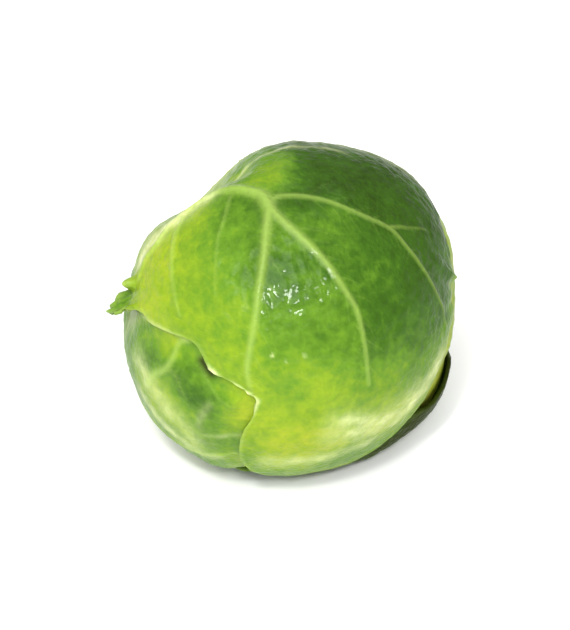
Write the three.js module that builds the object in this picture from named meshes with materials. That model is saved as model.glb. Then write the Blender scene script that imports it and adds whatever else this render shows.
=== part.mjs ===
// A trimmed Brussels sprout lying on its side: a tight heart on a cut stem, wrapped in eight
// cupped leaves. Lengths are millimetres and angles are degrees.
//
// Every surface is a height above the head's centre, given for each direction from it. A direction
// on a leaf is named by two angles: along, from the stem end over the leaf's midrib towards its tip,
// and across, square to the midrib plane, positive on the leaf's right.
import * as THREE from 'three';

const headCentre = new THREE.Vector3(0.17, -0.47, 17.35);
const stemDirection = new THREE.Vector3(-0.08, 0.944, 0.331).normalize();
const frontHint = new THREE.Vector3(0, -0.77, 0.64);

const headRadius = 18;
const heartLeafStep = 0.5; // how far each leaf edge of the heart stands up
const restCos = [-0.97, -0.8]; // leaves lie pressed flat below a direction this steep
const leafThickness = 0.62;
const leafGap = 0.55; // room under a leaf, with its neighbour's pressed veins in it
const pressedShare = 0.15; // height left of a vein that another leaf lies on
const holdAngle = 5; // a leaf stays down this far past the edge of the one over it
const usualDrape = 20; // and then rises to the head's outline over this angle

const stemRadius = 4.6;
const stemRoot = 13.85; // distance of the stub's inner end from the head's centre
const stemEnd = 18.6; // distance of the cut face
const cutDepth = 1; // the cut and its rounded edge lie within this much of the end
const stemSides = 20;
const stemSlant = 1.5; // how far the cut drops over one stem radius towards its short side
const slantStart = -0.4; // where it starts to drop, in stem radii from the axis
const shortSide = new THREE.Vector3(-0.35, -0.33, 0.88);

const midribHeight = 0.75;
const midribHalfWidth = 4.6;
const sideVeinHeight = 0.5;
const sideVeinHalfWidth = 4.5;
const sideVeinEvery = 3;
const frontVeinHalfWidth = 3.2;

const baseAlong = 19; // every leaf starts here, just clear of the stem stub

// Broad swellings and hollows of the whole head, by their place in the frame of azimuth 0.
const swellings = [
  { along: 35, across: 53, height: 1.8, spread: 30 },
  { along: 44, across: -30, height: -3.1, spread: 18 },
  { along: 14, across: -36, height: -1.8, spread: 22 },
  { along: 55, across: -14, height: -0.9, spread: 7 },
  { along: 60, across: -72, height: -0.95, spread: 16 },
  { along: 203, across: -33, height: 0.6, spread: 22 },
  { along: 200, across: 25, height: -0.5, spread: 28 },
  { along: 211, across: -56, height: 0.5, spread: 24 },
  { along: 0, across: 0, height: -0.9, spread: 26 },
  { along: 227, across: 12, height: 0.5, spread: 12 },
  { along: 228, across: 26, height: 1.1, spread: 14 },
  { along: 235, across: 44, height: 1.65, spread: 14 },
  { along: 243, across: 59, height: 1.15, spread: 14 },
];

// Half-widths of an ordinary wrapper leaf, from its base (share 0) to its tip (share 1).
const usualReach = [[0, 17], [0.15, 46], [0.35, 68], [0.55, 77], [0.75, 69], [0.88, 51], [0.96, 31],
  [1, 12]];

// The front leaf's own half-widths and the lift of its edge, by its along angle. Its left side is
// cut back below the tuft. Its veins fan out from the point where its thick stalk opens, and each is
// a line of [along, across] points.
const frontReachLeft = [[19.5, 20], [28, 48], [42, 66], [60, 75], [78, 78], [90, 76], [102, 70],
  [110, 61], [119, 54], [124, 45], [129, 33], [135, 29], [141, 26], [147, 17], [152, 12], [157, 13],
  [168, 19], [181, 21], [194, 19], [203, 15], [210, 9], [215, 4]];
const frontReachRight = [[19.5, 20], [28, 44], [42, 62], [70, 76], [100, 82], [150, 82], [180, 74],
  [195, 60], [205, 44], [212, 26], [215, 10]];
const frontLift = [[19.5, 0.1], [80, 0.2], [98, 0.6], [110, 0.3], [122, -0.1], [150, -0.1], [165, 0.1],
  [215, 0.1]];
const frontVeins = [
  { height: 1.0, width: 1.5, points: [[19.5, 12], [47, 9], [60, 7.6], [70, 6], [76, 4], [83, 1.5]] },
  { height: 0.8, width: 1, points: [[83, 1.5], [94, -0.5], [114, -5], [132, -10], [147, -13], [156, -14]] },
  { height: 0.8, width: 1, points: [[83, 1.5], [91, 6], [102, 16], [116, 24], [133, 28], [156, 28]] },
  { height: 0.8, width: 1, points: [[79, 4], [81, 20], [89, 44], [105, 57], [117, 63], [160, 70]] },
  { height: 0.5, width: 0.9, points: [[88, 44], [84, 52], [78, 60]] },
  { height: 1.1, width: 1.3, points: [[82, 1], [76, -4], [69, -16], [70, -31], [79, -44], [90, -57]] },
  { height: 0.55, width: 0.9, points: [[71, -10], [85, -14.5], [99, -19], [113, -21]] },
  { height: 0.55, width: 0.9, points: [[73, -31], [81, -34], [100, -37], [118, -36]] },
];

// The leaves from the inside out, as they grew: turn is the azimuth of the midrib round the stem,
// tip is the along angle where the leaf ends, width scales its half-widths, lean tips its end
// sideways, sweep draws its side veins forward, lift is how far its edge stands up, and drape is the
// angle over which the leaves under it rise past its edge.
const leaves = [
  { name: 'wrapper_leaf_8', turn: -125, tip: 216, width: 0.92, lean: 0.1, sweep: 0.3, lift: 0.5 },
  { name: 'wrapper_leaf_7', turn: 105, tip: 206, width: 0.9, lean: -0.1, sweep: 0.3, lift: 0.5 },
  { name: 'wrapper_leaf_6', turn: -32, tip: 203, width: 0.95, lean: 0.12, sweep: 0.32, lift: 0.5 },
  { name: 'wrapper_leaf_5', turn: -172, tip: 194, width: 0.96, lean: -0.12, sweep: 0.3, lift: 0.6 },
  { name: 'wrapper_leaf_4', turn: 56, tip: 212, width: 0.98, lean: 0.1, sweep: 0.34, lift: 0.6 },
  { name: 'wrapper_leaf_3', turn: -108, tip: 166, width: 1.06, lean: 0.16, sweep: 0.3, lift: 0.7 },
  { name: 'wrapper_leaf_2', turn: 170, tip: 146, width: 0.74, lean: -0.06, sweep: 0.3, lift: 0.15,
    drape: 28 },
  { name: 'wrapper_leaf_1', turn: -4, tip: 215, lean: 0, sweep: 0, front: true,
    curl: { along: 98.5, spread: 7.5, height: 1.3 } },
];
const heartLeaves = [20, 157, -66, 72, -149].map((turn) => (
  { turn, tip: 196, width: 0.8, lean: 0.1, sweep: 0.2 }));

// Rows and columns of each leaf's grid. The front leaf's rows are closer where its veins run.
const usualGrid = { rows: 19, columns: 16 };
const frontGrid = { rows: 46, columns: 38 };
const frontRows = [[0, baseAlong], [0.14, 60], [0.8, 160], [1, 215]];
const heartGrid = { rows: 16, columns: 26 };
const rimSteps = 36;
const marginWaves = 4;
const marginCut = 0.055;
const marginRipple = 0.5; // share of the lift

const leafColours = [0x8fae3a, 0x93b43f, 0x8db53a, 0x86ad3c, 0x9cc043, 0x5d9436, 0x4f8a34, 0x6fa83a];

const rad = THREE.MathUtils.degToRad;
const deg = THREE.MathUtils.radToDeg;

// Smooth step from 0 at or below low to 1 at or above high.
function fade(low, high, x) {
  return THREE.MathUtils.smoothstep(x, low, high);
}

// Value at x of a smooth curve through the [x, y] points of a table.
function tableAt(table, x) {
  const last = table.length - 1;
  if (x <= table[0][0]) return table[0][1];
  if (x >= table[last][0]) return table[last][1];
  const i = table.findIndex((point) => point[0] > x) - 1;
  const slopeAt = (k) => {
    const before = table[Math.max(k - 1, 0)];
    const after = table[Math.min(k + 1, last)];
    return (after[1] - before[1]) / (after[0] - before[0]);
  };
  const span = table[i + 1][0] - table[i][0];
  const t = (x - table[i][0]) / span;
  const [y0, y1] = [table[i][1], table[i + 1][1]];
  return y0 * (1 + 2 * t) * (1 - t) ** 2 + y1 * t * t * (3 - 2 * t)
    + span * (slopeAt(i) * t * (1 - t) ** 2 - slopeAt(i + 1) * t * t * (1 - t));
}

// The three axes of a leaf whose midrib has this azimuth: to the stem, forward and to the right.
function leafAxes(turn) {
  const forward0 = frontHint.clone().addScaledVector(stemDirection, -frontHint.dot(stemDirection));
  forward0.normalize();
  const right0 = new THREE.Vector3().crossVectors(stemDirection, forward0);
  const forward = forward0.clone().multiplyScalar(Math.cos(rad(turn)));
  forward.addScaledVector(right0, Math.sin(rad(turn)));
  return { stem: stemDirection, forward, right: new THREE.Vector3().crossVectors(stemDirection, forward) };
}

function directionAt(axes, along, across) {
  const flat = Math.cos(rad(across));
  return new THREE.Vector3()
    .addScaledVector(axes.stem, flat * Math.cos(rad(along)))
    .addScaledVector(axes.forward, flat * Math.sin(rad(along)))
    .addScaledVector(axes.right, Math.sin(rad(across)));
}

function anglesOf(axes, direction) {
  const along = deg(Math.atan2(direction.dot(axes.forward), direction.dot(axes.stem)));
  const across = deg(Math.asin(THREE.MathUtils.clamp(direction.dot(axes.right), -1, 1)));
  return { along: along < -90 ? along + 360 : along, across };
}

// A row of the leaf leans and sweeps forward with its distance from the midrib. rowAlong gives the
// angle where a row meets this place, and rowOf finds the row through a place.
function rowShear(leaf, across) {
  return (leaf.lean * across + leaf.sweep * Math.abs(across)) / (leaf.tip - baseAlong);
}

function rowAlong(leaf, row, across) {
  return row + rowShear(leaf, across) * (row - baseAlong);
}

function rowOf(leaf, along, across) {
  const shear = rowShear(leaf, across);
  return (along + shear * baseAlong) / (1 + shear);
}

// The leaf's half-width on one side (-1 left, 1 right) at a row.
function reachAt(leaf, row, side) {
  if (leaf.front) return tableAt(side < 0 ? frontReachLeft : frontReachRight, row);
  return leaf.width * tableAt(usualReach, (row - baseAlong) / (leaf.tip - baseAlong));
}

// The direction of a place on the leaf given by its row and its share (-1 to 1) of the half-width.
function placeOn(leaf, row, share) {
  const across = share * reachAt(leaf, row, share < 0 ? -1 : 1);
  return directionAt(leaf.axes, rowAlong(leaf, row, across), across);
}

// Directions all round the leaf's edge, a few degrees apart.
function rimOf(leaf) {
  const steps = Array.from({ length: rimSteps + 1 }, (_, i) => i / rimSteps);
  return steps.flatMap((t) => {
    const row = THREE.MathUtils.lerp(baseAlong, leaf.tip, t);
    const share = 2 * t - 1;
    return [placeOn(leaf, row, -1), placeOn(leaf, row, 1), placeOn(leaf, baseAlong, share),
      placeOn(leaf, leaf.tip, share)];
  });
}

// How much of the leaf lies over a direction: 1 on the leaf, falling to 0 a little past its edge.
function coverOf(leaf, direction) {
  const { along, across } = anglesOf(leaf.axes, direction);
  const row = rowOf(leaf, along, across);
  const onRows = row >= baseAlong && row <= leaf.tip;
  if (onRows && Math.abs(across) <= reachAt(leaf, row, across < 0 ? -1 : 1)) return 1;
  const nearest = leaf.rim.reduce((top, edge) => Math.max(top, edge.dot(direction)), -1);
  const past = deg(Math.acos(Math.min(nearest, 1)));
  return 1 - fade(holdAngle, holdAngle + (leaf.drape ?? usualDrape), past);
}

// The outline of the whole head, which its outermost leaf follows everywhere.
function headHeight(direction) {
  return headRadius + swellings.reduce((sum, lump) => {
    const angle = deg(direction.angleTo(directionAt(headAxes, lump.along, lump.across)));
    return sum + lump.height * Math.exp(-((angle / lump.spread) ** 2));
  }, 0);
}

// How deep a direction lies under these leaves.
function depthUnder(outerLeaves, direction) {
  const layer = leafThickness + leafGap;
  return layer * outerLeaves.reduce((sum, leaf) => sum + coverOf(leaf, direction), 0);
}

// The heart lies under every wrapper leaf, and steps down past the edges of its own leaves.
function heartPoint(direction) {
  const depth = depthUnder(leaves, direction);
  const steps = heartLeaves.reduce((sum, leaf) => sum + 1 - coverOf(leaf, direction), 0);
  return headPoint(direction, headHeight(direction) - depth - heartLeafStep * steps, depth);
}

const headAxes = leafAxes(0);
[...leaves, ...heartLeaves].forEach((leaf) => {
  leaf.axes = leafAxes(leaf.turn);
  leaf.rim = rimOf(leaf);
});
const veinLines = frontVeins.map((vein) => {
  const curve = new THREE.SplineCurve(vein.points.map(([x, y]) => new THREE.Vector2(x, y)));
  return { ...vein, line: curve.getPoints(4 * vein.points.length) };
});

// Distance in degrees from a place on the leaf to a line, and how far along the line that is.
function nearestOnLine(line, along, across) {
  let best = { distance: Infinity, share: 0 };
  const narrow = Math.cos(rad(across));
  for (let i = 0; i < line.length - 1; i += 1) {
    const dx = (line[i + 1].x - line[i].x) * narrow;
    const dy = line[i + 1].y - line[i].y;
    const px = (along - line[i].x) * narrow;
    const py = across - line[i].y;
    const t = THREE.MathUtils.clamp((px * dx + py * dy) / (dx * dx + dy * dy), 0, 1);
    const distance = Math.hypot(px - t * dx, py - t * dy);
    if (distance < best.distance) best = { distance, share: (i + t) / (line.length - 1) };
  }
  return best;
}

function frontVeinRelief(along, across) {
  return veinLines.reduce((top, vein) => {
    const { distance, share } = nearestOnLine(vein.line, along, across);
    const half = frontVeinHalfWidth * vein.width;
    return Math.max(top, vein.height * (1 - 0.45 * share) * (1 - fade(0, half, distance)));
  }, 0);
}

// An ordinary leaf has a tapering midrib, and side veins along every third row of its grid, those
// on the left a row behind those on the right.
function usualVeinRelief(leaf, row, across) {
  const share = (row - baseAlong) / (leaf.tip - baseAlong);
  const half = midribHalfWidth * (1.25 - 0.7 * share);
  const midrib = midribHeight * (1.1 - 0.8 * share) * (1 - fade(0, half, Math.abs(across)));
  const side = across < 0 ? -1 : 1;
  const rowAngle = (leaf.tip - baseAlong) / usualGrid.rows;
  const turns = (share * usualGrid.rows - (side < 0 ? 1 : 2)) / sideVeinEvery;
  const offVein = Math.abs(turns - Math.round(turns)) * sideVeinEvery * rowAngle;
  const inside = 1 - fade(0.6, 0.95, Math.abs(across) / reachAt(leaf, row, side));
  const taper = sideVeinHeight * inside * (1 - 0.5 * share);
  return Math.max(midrib, taper * (1 - fade(0, sideVeinHalfWidth, offVein)));
}

// Radii of the two faces of a leaf, and the lowest that each may come to the surface it rests on.
function leafFaces(leaf, direction) {
  const outerLeaves = leaves.slice(leaves.indexOf(leaf) + 1);
  const { along, across } = anglesOf(leaf.axes, direction);
  const side = across < 0 ? -1 : 1;
  const row = rowOf(leaf, along, across);
  const depth = depthUnder(outerLeaves, direction);
  const covered = Math.max(0, ...outerLeaves.map((other) => coverOf(other, direction)));
  const bare = fade(restCos[0], restCos[1], direction.z) * fade(0, 0.4, 1 - covered);

  const out = Math.abs(across) / reachAt(leaf, row, side);
  const end = (row - baseAlong) / (leaf.tip - baseAlong);
  const edge = Math.max(fade(0.72, 1, out) * fade(0.1, 0.35, end), fade(0.86, 1, end));
  const ripple = marginRipple * Math.sin(2 * Math.PI * marginWaves * end + leaf.turn);
  const lift = leaf.front ? tableAt(frontLift, row) : leaf.lift;
  let raise = bare * edge * lift * (1 + ripple);
  if (leaf.curl && side < 0) {
    const near = Math.exp(-(((along - leaf.curl.along) / leaf.curl.spread) ** 2));
    raise += leaf.curl.height * near * fade(0.8, 1, out);
  }
  const relief = leaf.front ? frontVeinRelief(along, across) : usualVeinRelief(leaf, row, across);
  const veins = relief * (pressedShare + (1 - pressedShare) * bare);
  const outer = headHeight(direction) - depth + raise;
  return {
    inner: outer - leafThickness,
    outer: outer + veins,
    innerFloor: depth + leafThickness,
    outerFloor: depth,
  };
}

// The point at this radius in this direction, kept off the surface that the head lies on.
function headPoint(direction, radius, floor) {
  const point = direction.clone().multiplyScalar(radius).add(headCentre);
  point.z = Math.max(point.z, floor);
  return point;
}

// The row angle at this share (0 to 1) of the leaf's grid.
function rowAt(leaf, share) {
  return leaf.front ? tableAt(frontRows, share) : THREE.MathUtils.lerp(baseAlong, leaf.tip, share);
}

// The two faces' points on a grid of the leaf, row by row.
function leafGridPoints(leaf) {
  const { rows, columns } = leaf.front ? frontGrid : usualGrid;
  const inner = [];
  const outer = [];
  for (let i = 0; i <= rows; i += 1) {
    const row = rowAt(leaf, i / rows);
    const end = (row - baseAlong) / (leaf.tip - baseAlong);
    const wave = 0.5 + 0.5 * Math.sin(2 * Math.PI * marginWaves * end + leaf.turn);
    for (let j = 0; j <= columns; j += 1) {
      const share = (2 * j) / columns - 1;
      const side = share < 0 ? -1 : 1;
      const across = share * reachAt(leaf, row, side) * (1 - marginCut * wave);
      const direction = directionAt(leaf.axes, rowAlong(leaf, row, across), across);
      const faces = leafFaces(leaf, direction);
      inner.push(headPoint(direction, faces.inner, faces.innerFloor));
      outer.push(headPoint(direction, faces.outer, faces.outerFloor));
    }
  }
  return { rows, columns, inner, outer };
}

// A closed shell from two like grids: both faces are split the same way and joined round the rim.
function shellGeometry({ rows, columns, inner, outer }) {
  const positions = [...outer, ...inner].flatMap((point) => point.toArray());
  const stride = columns + 1;
  const count = outer.length;
  const triangles = [];
  const quad = (a, b, c, d) => triangles.push(a, b, c, a, c, d);
  for (let i = 0; i < rows; i += 1) {
    for (let j = 0; j < columns; j += 1) {
      const a = i * stride + j;
      const [b, c, d] = [a + 1, a + stride + 1, a + stride];
      triangles.push(a, d, c, a, c, b);
      triangles.push(count + a, count + c, count + d, count + a, count + b, count + c);
    }
  }
  const rim = [];
  for (let j = 0; j < columns; j += 1) rim.push(j);
  for (let i = 0; i < rows; i += 1) rim.push(i * stride + columns);
  for (let j = columns; j > 0; j -= 1) rim.push(rows * stride + j);
  for (let i = rows; i > 0; i -= 1) rim.push(i * stride);
  rim.forEach((from, k) => {
    const to = rim[(k + 1) % rim.length];
    quad(from, to, count + to, count + from);
  });
  const geometry = new THREE.BufferGeometry();
  geometry.setAttribute('position', new THREE.Float32BufferAttribute(positions, 3));
  geometry.setIndex(triangles);
  geometry.computeVertexNormals();
  return geometry;
}

// The heart is one closed body, from its pole under the stem stub to its crown.
function heartGeometry() {
  const { rows, columns } = heartGrid;
  const points = [heartPoint(stemDirection)];
  for (let i = 1; i < rows; i += 1) {
    for (let j = 0; j < columns; j += 1) {
      const polar = (180 * i) / rows;
      const axes = leafAxes((360 * j) / columns);
      const direction = directionAt(axes, polar, 0);
      points.push(heartPoint(direction));
    }
  }
  points.push(heartPoint(stemDirection.clone().negate()));
  const last = points.length - 1;
  const triangles = [];
  for (let j = 0; j < columns; j += 1) {
    const next = (j + 1) % columns;
    triangles.push(0, 1 + j, 1 + next);
    for (let i = 0; i < rows - 2; i += 1) {
      const [a, b] = [1 + i * columns + j, 1 + i * columns + next];
      triangles.push(a, a + columns, b + columns, a, b + columns, b);
    }
    const ring = 1 + (rows - 2) * columns;
    triangles.push(ring + j, last, ring + next);
  }
  const geometry = new THREE.BufferGeometry();
  const positions = points.flatMap((point) => point.toArray());
  geometry.setAttribute('position', new THREE.Float32BufferAttribute(positions, 3));
  geometry.setIndex(triangles);
  geometry.computeVertexNormals();
  return geometry;
}

// The stub is turned about Y, with a small round at the cut edge and a slight hollow in the cut,
// which is made a little askew.
function stemMesh() {
  const profile = [
    [0, stemRoot], [stemRadius * 0.94, stemRoot], [stemRadius * 0.96, stemRoot + 2],
    [stemRadius, stemEnd - 0.5], [stemRadius - 0.4, stemEnd], [stemRadius * 0.55, stemEnd - 0.1],
    [0, stemEnd - 0.3],
  ].map(([x, y]) => new THREE.Vector2(x, y));
  const mesh = new THREE.Mesh(
    new THREE.LatheGeometry(profile, stemSides),
    new THREE.MeshStandardMaterial({ color: 0xdfe3b4, roughness: 0.7, metalness: 0 }),
  );
  mesh.name = 'cut_stem';
  mesh.position.copy(headCentre);
  mesh.quaternion.setFromUnitVectors(new THREE.Vector3(0, 1, 0), stemDirection);
  const towards = shortSide.clone().applyQuaternion(mesh.quaternion.clone().invert());
  const position = mesh.geometry.attributes.position;
  for (let i = 0; i < position.count; i += 1) {
    const across = (position.getX(i) * towards.x + position.getZ(i) * towards.z) / stemRadius;
    const onCut = position.getY(i) > stemEnd - cutDepth;
    if (onCut) position.setY(i, position.getY(i) - stemSlant * Math.max(0, across - slantStart));
  }
  return mesh;
}

function leafMesh(leaf, index) {
  const mesh = new THREE.Mesh(
    shellGeometry(leafGridPoints(leaf)),
    new THREE.MeshStandardMaterial({ color: leafColours[index], roughness: 0.38, metalness: 0 }),
  );
  mesh.name = leaf.name;
  return mesh;
}

const heart = new THREE.Mesh(
  heartGeometry(),
  new THREE.MeshStandardMaterial({ color: 0xb9cc62, roughness: 0.45, metalness: 0 }),
);
heart.name = 'heart';

const sprout = new THREE.Group();
sprout.add(stemMesh(), heart, ...leaves.map(leafMesh));

export default sprout;
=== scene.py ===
import math

import bpy
import numpy as np
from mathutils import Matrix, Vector


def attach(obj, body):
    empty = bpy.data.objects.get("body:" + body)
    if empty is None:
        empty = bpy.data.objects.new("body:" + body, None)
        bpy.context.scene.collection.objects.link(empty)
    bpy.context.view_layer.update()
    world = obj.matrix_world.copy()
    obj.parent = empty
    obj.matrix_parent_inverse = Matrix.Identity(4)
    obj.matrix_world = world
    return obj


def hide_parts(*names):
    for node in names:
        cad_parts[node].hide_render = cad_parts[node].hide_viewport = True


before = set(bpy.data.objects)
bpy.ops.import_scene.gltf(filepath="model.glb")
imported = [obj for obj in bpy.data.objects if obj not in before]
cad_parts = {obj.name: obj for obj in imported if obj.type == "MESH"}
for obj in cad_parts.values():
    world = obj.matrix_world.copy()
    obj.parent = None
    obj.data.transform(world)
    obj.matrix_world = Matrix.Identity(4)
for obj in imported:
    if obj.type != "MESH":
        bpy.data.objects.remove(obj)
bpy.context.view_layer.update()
mm = 0.001

# The whole head. Lengths are millimetres and angles degrees. A place is a direction from the
# head's centre: along runs from the stem over a leaf's midrib to its tip, across runs square to it.
head = {
    "centre": (0.17, -0.47, 17.35),
    "stem": (-0.08, 0.944, 0.331),     # the way the stem points
    "front": (0, -0.77, 0.64),         # the way a leaf with no turn faces
    "radius": 18.0,
    "thickness": 0.42,                 # of a leaf
    "layer": 0.74,                     # from one leaf's skin down to the skin of the next
    "hold": 2.5,                       # a leaf stays down this far past the edge over it
    "drape": 12.0,                     # then rises to the outline over this angle
    "restCos": (-0.97, -0.8),          # from flat on the floor to free of it
    "pressed": 0.12,                   # share of a vein's height where another leaf lies on it
    "baseAlong": 19.0,                 # where every leaf starts, round the stem
    "swellings": [                     # along, across, height, spread
        (35, 53, 1.8, 30), (44, -30, -3.1, 18), (14, -36, -1.8, 22), (55, -14, -0.9, 7),
        (60, -72, -0.95, 16), (203, -33, 0.6, 22), (200, 25, -0.5, 28), (211, -56, 0.5, 24),
        (0, 0, -0.9, 26), (227, 12, 0.5, 12), (228, 26, 1.1, 14), (235, 44, 1.65, 14),
        (243, 59, 1.15, 14),
    ],
}

# How far a leaf reaches across: the usual one by its share of the way to the tip, and the front one
# by the angle along, on its left (-1) and right (1). frontLift is how far its edge stands off.
usualReach = [(0, 17), (0.15, 46), (0.35, 68), (0.55, 77), (0.75, 69), (0.88, 51), (0.96, 31), (1, 12)]
frontReach = {
    -1: [(19.5, 20), (28, 48), (42, 66), (60, 75), (78, 78), (90, 76), (102, 70), (110, 61),
         (119, 54), (124, 45), (129, 33), (135, 29), (141, 26), (147, 17), (152, 12), (157, 13),
         (168, 19), (181, 21), (194, 19), (203, 15), (210, 9), (215, 4)],
    1: [(19.5, 20), (28, 44), (42, 62), (70, 76), (100, 82), (150, 82), (180, 74), (195, 60),
        (205, 44), (212, 26), (215, 10)],
}
frontLift = [(19.5, 0.1), (80, 0.2), (98, 0.6), (107, 0.1), (116, -0.12), (150, -0.12), (165, 0.1),
             (215, 0.1)]

# Each leaf from the inside out. turn is round the stem, tip is where it ends, lean and sweep skew
# its rows, lift raises its edge, and tone runs from -1, dark, to 1, yellow.
leaves = [
    {"name": "wrapper_leaf_8", "turn": -125, "tip": 216, "width": 0.92, "lean": 0.1, "sweep": 0.3,
     "lift": 0.5, "tone": 0.75, "seed": 8},
    {"name": "wrapper_leaf_7", "turn": 105, "tip": 206, "width": 0.9, "lean": -0.1, "sweep": 0.3,
     "lift": 0.5, "tone": 0.7, "seed": 7},
    {"name": "wrapper_leaf_6", "turn": -32, "tip": 203, "width": 0.95, "lean": 0.12, "sweep": 0.32,
     "lift": 0.5, "tone": 0.7, "seed": 6},
    {"name": "wrapper_leaf_5", "turn": -172, "tip": 194, "width": 0.96, "lean": -0.12, "sweep": 0.3,
     "lift": 0.6, "tone": 0.35, "seed": 5},
    {"name": "wrapper_leaf_4", "turn": 56, "tip": 212, "width": 0.98, "lean": 0.1, "sweep": 0.34,
     "lift": 0.6, "tone": 0.55, "seed": 4},
    {"name": "wrapper_leaf_3", "turn": -108, "tip": 166, "width": 1.06, "lean": 0.16, "sweep": 0.3,
     "lift": 0.7, "tone": 0.0, "seed": 3, "quietVeins": True},
    {"name": "wrapper_leaf_2", "turn": 170, "tip": 146, "width": 0.74, "lean": -0.06, "sweep": 0.3,
     "lift": 0.15, "tone": -0.55, "seed": 2, "underside": True},
    {"name": "wrapper_leaf_1", "turn": -4, "tip": 215, "width": 1.0, "lean": 0, "sweep": 0,
     "tone": 0.2, "seed": 1, "front": True},
]
heartLeaves = [{"turn": t, "tip": 196, "width": 0.8, "lean": 0.1, "sweep": 0.2}
               for t in (20, 157, -66, 72, -149)]


# 0 below low, 1 above high and smooth between, or the other way round when high is the lesser.
def fade(low, high, x):
    t = np.clip((x - low) / (high - low), 0, 1)
    return t * t * (3 - 2 * t)


# A smooth curve through the points of a table.
def tableAt(table, x):
    px, py = (np.array(v, float) for v in zip(*table))
    x = np.clip(x, px[0], px[-1])
    count = np.arange(len(px))
    i = np.clip(np.searchsorted(px, x, side="right") - 1, 0, len(px) - 2)
    before = np.maximum(count - 1, 0)
    after = np.minimum(count + 1, len(px) - 1)
    slope = (py[after] - py[before]) / (px[after] - px[before])
    span = px[i + 1] - px[i]
    t = (x - px[i]) / span
    return (py[i] * (1 + 2 * t) * (1 - t) ** 2 + py[i + 1] * t * t * (3 - 2 * t)
            + span * (slope[i] * t * (1 - t) ** 2 - slope[i + 1] * t * t * (1 - t)))


stemAxis = np.array(head["stem"], float)
stemAxis /= np.linalg.norm(stemAxis)
headCentre = np.array(head["centre"], float)


# The stem's way, the way a leaf faces and its right hand.
def leafAxes(turn):
    forward0 = np.array(head["front"], float)
    forward0 -= stemAxis * (forward0 @ stemAxis)
    forward0 /= np.linalg.norm(forward0)
    right0 = np.cross(stemAxis, forward0)
    t = math.radians(turn)
    forward = forward0 * math.cos(t) + right0 * math.sin(t)
    return stemAxis, forward, np.cross(stemAxis, forward)


def directionAt(axes, along, across):
    stem, forward, right = axes
    a, b = np.radians(along)[..., None], np.radians(across)[..., None]
    return np.cos(b) * (np.cos(a) * stem + np.sin(a) * forward) + np.sin(b) * right


def anglesOf(axes, directions):
    stem, forward, right = axes
    along = np.degrees(np.arctan2(directions @ forward, directions @ stem))
    across = np.degrees(np.arcsin(np.clip(directions @ right, -1, 1)))
    return np.where(along < -90, along + 360, along), across


def angleFrom(axes, along, across, directions):
    at = directionAt(axes, np.array(float(along)), np.array(float(across)))
    return np.degrees(np.arccos(np.clip(directions @ at, -1, 1)))


# A leaf's rows run square to its midrib at the stem and skew towards its tip.
def rowShear(leaf, across):
    return (leaf["lean"] * across + leaf["sweep"] * np.abs(across)) / (leaf["tip"] - head["baseAlong"])


def reachAt(leaf, row, across):
    if leaf.get("front"):
        return np.where(across < 0, tableAt(frontReach[-1], row), tableAt(frontReach[1], row))
    share = (row - head["baseAlong"]) / (leaf["tip"] - head["baseAlong"])
    return leaf["width"] * tableAt(usualReach, share)


def placeOn(leaf, row, share):
    row, share = np.broadcast_arrays(np.asarray(row, float), np.asarray(share, float))
    across = share * reachAt(leaf, row, share)
    along = row + rowShear(leaf, across) * (row - head["baseAlong"])
    return directionAt(leaf["axes"], along, across)


def rowOf(leaf, along, across):
    shear = rowShear(leaf, across)
    return (along + shear * head["baseAlong"]) / (1 + shear)


def prepare(leaf, rimSteps=90):
    leaf["axes"] = leafAxes(leaf["turn"])
    t = np.linspace(0, 1, rimSteps + 1)
    row = head["baseAlong"] + t * (leaf["tip"] - head["baseAlong"])
    leaf["rim"] = np.concatenate([
        placeOn(leaf, row, -1.0), placeOn(leaf, row, 1.0),
        placeOn(leaf, head["baseAlong"], 2 * t - 1), placeOn(leaf, leaf["tip"], 2 * t - 1)])


# 1 under a leaf, then less past its edge, down to 0 where the layer below is free.
def coverOf(leaf, directions):
    along, across = anglesOf(leaf["axes"], directions)
    row = rowOf(leaf, along, across)
    inside = ((row >= head["baseAlong"]) & (row <= leaf["tip"])
              & (np.abs(across) <= reachAt(leaf, row, across)))
    nearest = np.full(len(directions), -1.0)
    for part in np.array_split(leaf["rim"], 8):    # a few points at a time, to save memory
        nearest = np.maximum(nearest, (directions @ part.T).max(axis=1))
    past = np.degrees(np.arccos(np.clip(nearest, -1, 1)))
    cover = 1 - fade(head["hold"], head["hold"] + head["drape"], past)
    return np.where(inside, 1.0, cover)


headAxes = leafAxes(0)
for leaf in leaves + heartLeaves:
    prepare(leaf)


def headHeight(directions):
    height = np.full(len(directions), head["radius"])
    for along, across, rise, spread in head["swellings"]:
        height += rise * np.exp(-(angleFrom(headAxes, along, across, directions) / spread) ** 2)
    return height


# Smooth random swelling between -1 and 1, at a size in millimetres.
def lumps(points, size, seed):
    side = 32
    lattice = np.random.RandomState(seed).uniform(-1, 1, (side, side, side))
    p = points / size + 100.37      # keeps clear of the lattice's own planes
    base = np.floor(p).astype(int)
    f = p - base
    f = f * f * (3 - 2 * f)
    total = np.zeros(len(points))
    for dx in (0, 1):
        for dy in (0, 1):
            for dz in (0, 1):
                weight = (np.abs(1 - dx - f[:, 0]) * np.abs(1 - dy - f[:, 1])
                          * np.abs(1 - dz - f[:, 2]))
                total += weight * lattice[(base[:, 0] + dx) % side, (base[:, 1] + dy) % side,
                                          (base[:, 2] + dz) % side]
    return total


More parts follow.
